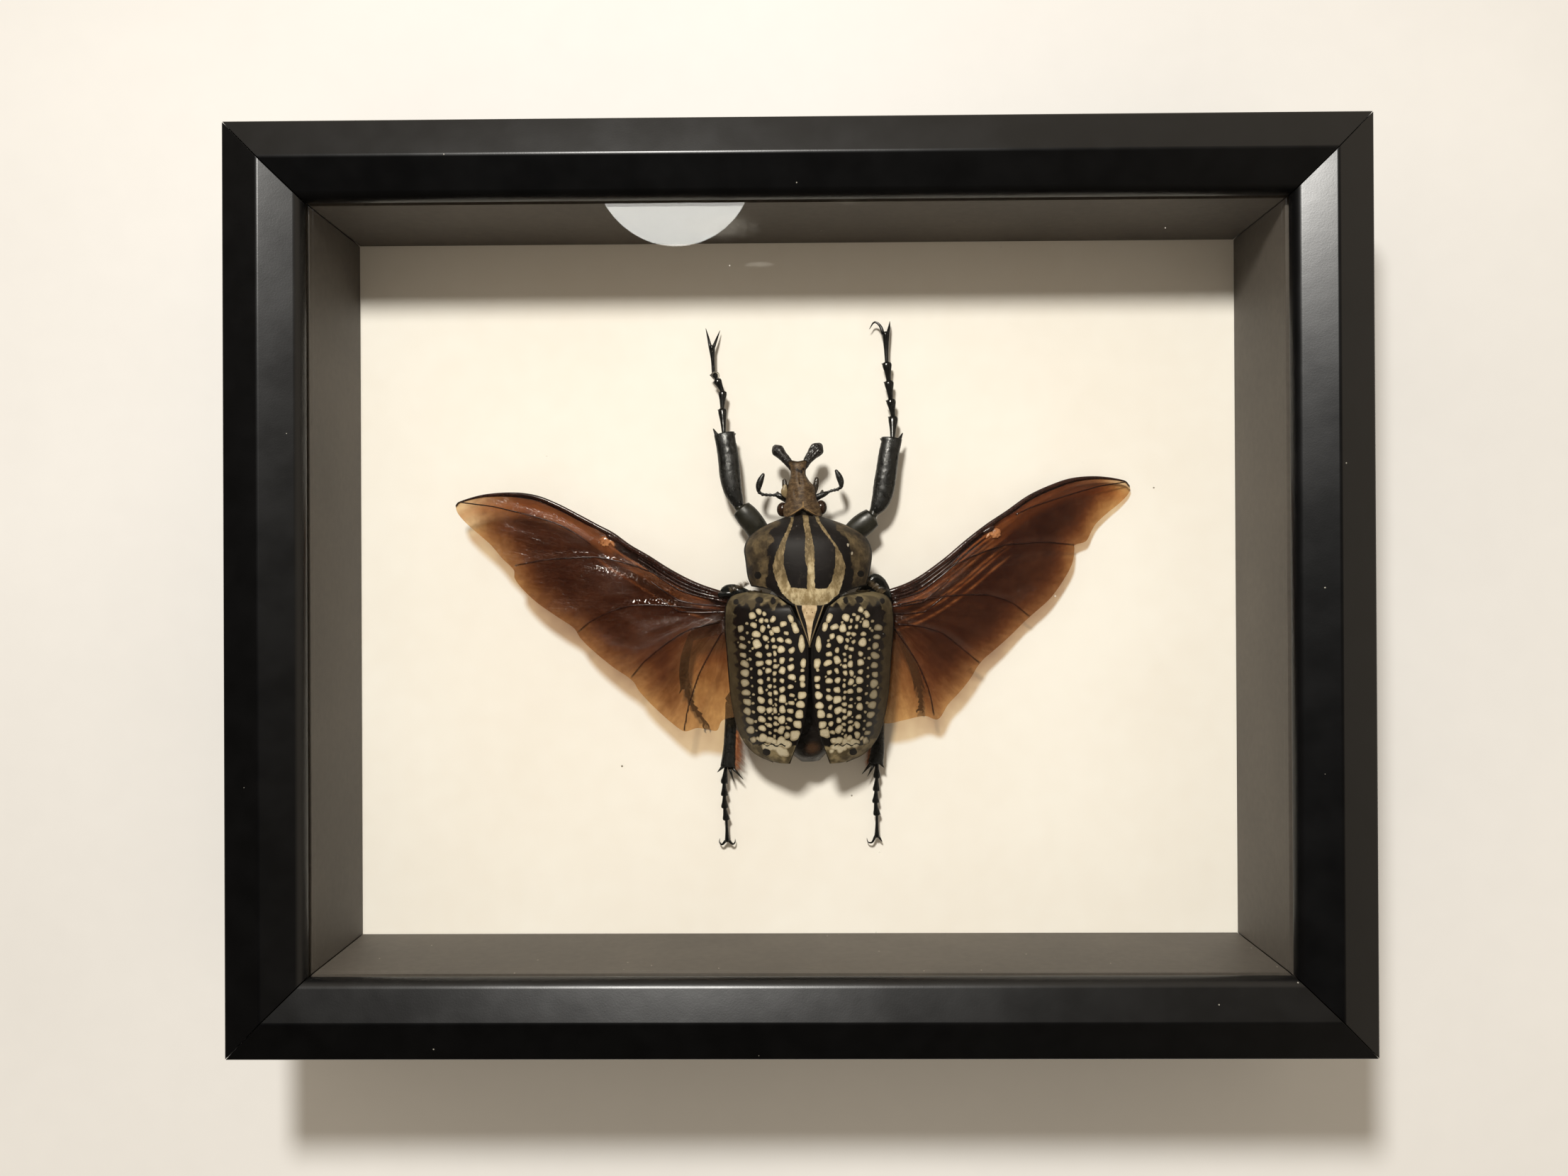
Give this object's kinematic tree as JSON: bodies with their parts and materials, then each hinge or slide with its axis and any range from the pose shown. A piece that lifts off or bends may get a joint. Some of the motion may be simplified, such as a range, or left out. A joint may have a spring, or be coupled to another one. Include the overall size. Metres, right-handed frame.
{
  "type": "framed goliath beetle specimen",
  "caption": "Black glazed shadow box with dark spacers and a cream mount board, holding a dried goliath beetle with spread hind wings.",
  "frame": {"origin": "middle of the back of the frame, at the level of the rails' back faces", "axes": "+Z out through the glass, +Y towards the beetle's head and the top of the frame, +X to the right of someone looking at the glass"},
  "size_m": [0.2794, 0.2286, 0.0507],
  "materials": {
    "frame_paint": "satin black paint on wood",
    "glass": "clear picture glass",
    "spacer_board": "dark matt covered board",
    "mount_board": "matt cream board",
    "back_board": "bare brown fibre board",
    "steel": "plated sheet steel",
    "black_shell": "glossy black insect shell",
    "patterned_shell": "satin black insect shell with cream and olive markings",
    "brown_shell": "satin tan-brown insect shell",
    "wing_membrane": "glossy translucent red-brown membrane",
    "clear_glue": "clear hardened glue"
  },
  "bodies": {
    "root": {"rail_top": "frame_paint", "rail_bottom": "frame_paint", "rail_left": "frame_paint", "rail_right": "frame_paint", "glass_pane": "glass", "spacer_top": "spacer_board", "spacer_bottom": "spacer_board", "spacer_left": "spacer_board", "spacer_right": "spacer_board", "mount_board": "mount_board", "back_board": "back_board", "point_top_left": "steel", "point_top_right": "steel", "point_bottom_left": "steel", "point_bottom_right": "steel", "point_left": "steel", "point_right": "steel", "sawtooth_hanger": "steel", "trunk": "black_shell", "pronotum": "patterned_shell", "head": "brown_shell", "elytron_left": "patterned_shell", "elytron_right": "patterned_shell", "hindwing_left": "wing_membrane", "hindwing_right": "wing_membrane", "foreleg_left": "black_shell", "foreleg_right": "black_shell", "midleg_left": "black_shell", "midleg_right": "black_shell", "hindleg_left": "black_shell", "hindleg_right": "black_shell", "antenna_left": "black_shell", "antenna_right": "black_shell", "glue_ring": "clear_glue"}
  },
  "joints": []
}
